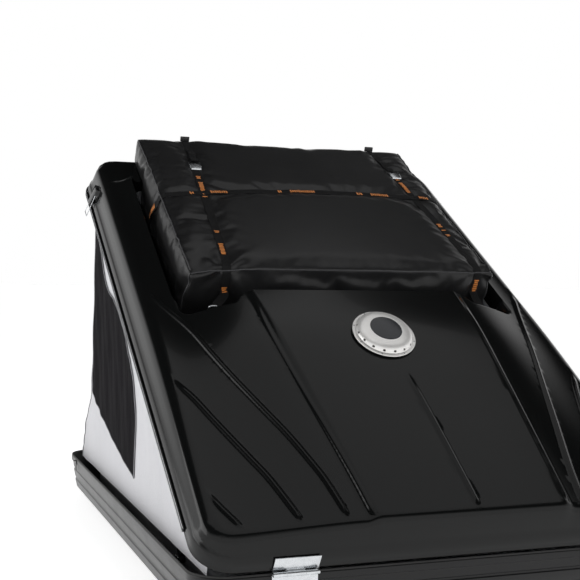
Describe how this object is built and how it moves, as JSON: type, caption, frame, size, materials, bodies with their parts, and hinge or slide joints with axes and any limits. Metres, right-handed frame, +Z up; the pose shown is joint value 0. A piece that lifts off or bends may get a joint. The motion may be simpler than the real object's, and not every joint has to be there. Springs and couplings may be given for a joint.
{
  "type": "roof cargo box",
  "caption": "Hard-shell wedge roof box standing open on its front hinge, with fabric walls, a round roof vent and a strapped soft cargo bag in the lid.",
  "frame": {"origin": "centre of the overall footprint, on the plane that the two rails stand on", "axes": "+Z up, +Y towards the tall open end, +X to the right seen from the hinge end"},
  "size_m": [1.4368, 2.0216, 1.3828],
  "materials": {
    "black_gloss": "gloss",
    "black_plastic": "satin",
    "aluminium": "satin",
    "stainless": "satin",
    "steel": "satin",
    "rubber": "matte",
    "solar": "gloss",
    "tarpaulin": "satin",
    "webbing": "matte",
    "canvas": "matte",
    "window": "matte",
    "foam": "matte"
  },
  "bodies": {
    "base": {"base_shell": "black_gloss", "base_seal": "rubber", "rail_left": "aluminium", "rail_right": "aluminium", "rail_bolt_1": "steel", "rail_bolt_2": "steel", "rail_bolt_3": "steel", "rail_bolt_4": "steel", "hinge_base_leaf_left": "steel", "hinge_base_leaf_right": "steel", "hinge_pin_left": "steel", "hinge_pin_right": "steel", "mattress": "foam", "strut_base_bracket_left": "steel", "strut_base_bracket_right": "steel", "latch_keeper_left": "steel", "latch_keeper_right": "steel", "side_wall_left": "canvas", "side_wall_right": "canvas", "rear_wall": "canvas", "side_window_left": "window", "side_window_right": "window", "rear_door": "window"},
    "lid": {"lid_shell": "black_gloss", "lid_trim": "aluminium", "hinge_lid_leaf_left": "steel", "hinge_lid_leaf_right": "steel", "strut_lid_bracket_left": "steel", "strut_lid_bracket_right": "steel", "anchor_front_left": "steel", "anchor_front_right": "steel", "anchor_rear_left": "steel", "anchor_rear_right": "steel", "anchor_side_left": "steel", "anchor_side_right": "steel", "buckle_frame_left": "steel", "buckle_frame_right": "steel", "latch_plate_left": "steel", "latch_plate_right": "steel", "vent_gasket": "rubber", "vent_duct": "black_plastic", "vent_flange": "stainless", "vent_dome": "stainless", "solar_panel": "solar", "cargo_bag": "tarpaulin", "strap_left": "webbing", "strap_right": "webbing", "strap_cross": "webbing"},
    "strut_tube_left": {"strut_tube_left": "black_plastic"},
    "strut_rod_left": {"strut_rod_left": "steel"},
    "buckle_lever_left": {"buckle_lever_left": "black_plastic"},
    "latch_lever_left": {"latch_lever_left": "black_plastic"},
    "latch_bail_left": {"latch_bail_left": "steel"},
    "strut_tube_right": {"strut_tube_right": "black_plastic"},
    "strut_rod_right": {"strut_rod_right": "steel"},
    "buckle_lever_right": {"buckle_lever_right": "black_plastic"},
    "latch_lever_right": {"latch_lever_right": "black_plastic"},
    "latch_bail_right": {"latch_bail_right": "steel"},
    "vent_fan": {"vent_fan": "black_plastic"}
  },
  "joints": [
    {"name": "lid_hinge", "type": "hinge", "parent": "base", "child": "lid", "pos_m": [0, -0.98922, 0.1643], "axis": [1, 0, 0], "range_deg": [-31.83, 0], "deforming": ["side_wall_left", "side_wall_right", "rear_wall", "side_window_left", "side_window_right", "rear_door"]},
    {"name": "strut_swing_left", "type": "hinge", "parent": "base", "child": "strut_tube_left", "pos_m": [-0.63, -0.56922, 0.1093], "axis": [1, 0, 0], "range_deg": [-49.52, 0]},
    {"name": "strut_slide_left", "type": "slide", "parent": "strut_tube_left", "child": "strut_rod_left", "axis": [0, 0.5096, 0.8604], "range_m": [-0.1583, 0]},
    {"name": "strut_swing_right", "type": "hinge", "parent": "base", "child": "strut_tube_right", "pos_m": [0.63, -0.56922, 0.1093], "axis": [1, 0, 0], "range_deg": [-49.52, 0]},
    {"name": "strut_slide_right", "type": "slide", "parent": "strut_tube_right", "child": "strut_rod_right", "axis": [0, 0.5096, 0.8604], "range_m": [-0.1583, 0]},
    {"name": "vent_fan_spin", "type": "hinge", "parent": "lid", "child": "vent_fan", "pos_m": [0, -0.49799, 0.71537], "axis": [0, -0.6401, 0.7683], "continuous": true},
    {"name": "buckle_lever_hinge_left", "type": "hinge", "parent": "lid", "child": "buckle_lever_left", "pos_m": [-0.36443, 0.34544, 1.27739], "axis": [-1, 0, 0], "range_deg": [0, 95]},
    {"name": "buckle_lever_hinge_right", "type": "hinge", "parent": "lid", "child": "buckle_lever_right", "pos_m": [0.42046, 0.34544, 1.27739], "axis": [-1, 0, 0], "range_deg": [0, 95]},
    {"name": "latch_lever_hinge_left", "type": "hinge", "parent": "lid", "child": "latch_lever_left", "pos_m": [-0.68803, 0.49528, 1.1858], "axis": [0, 0.8496, 0.5274], "range_deg": [0, 120]},
    {"name": "latch_bail_hinge_left", "type": "hinge", "parent": "latch_lever_left", "child": "latch_bail_left", "pos_m": [-0.69248, 0.50339, 1.17274], "axis": [0, 0.8496, 0.5274], "range_deg": [0, 50]},
    {"name": "latch_lever_hinge_right", "type": "hinge", "parent": "lid", "child": "latch_lever_right", "pos_m": [0.68803, 0.49528, 1.1858], "axis": [0, -0.8496, -0.5274], "range_deg": [0, 120]},
    {"name": "latch_bail_hinge_right", "type": "hinge", "parent": "latch_lever_right", "child": "latch_bail_right", "pos_m": [0.69248, 0.50339, 1.17274], "axis": [0, -0.8496, -0.5274], "range_deg": [0, 50]}
  ],
  "couplings": [
    {"joint": "strut_swing_left", "follows": "lid_hinge", "ratio": 1.5494},
    {"joint": "strut_slide_left", "follows": "lid_hinge", "m_per_rad": 0.28398},
    {"joint": "strut_swing_right", "follows": "lid_hinge", "ratio": 1.5494},
    {"joint": "strut_slide_right", "follows": "lid_hinge", "m_per_rad": 0.28398}
  ]
}
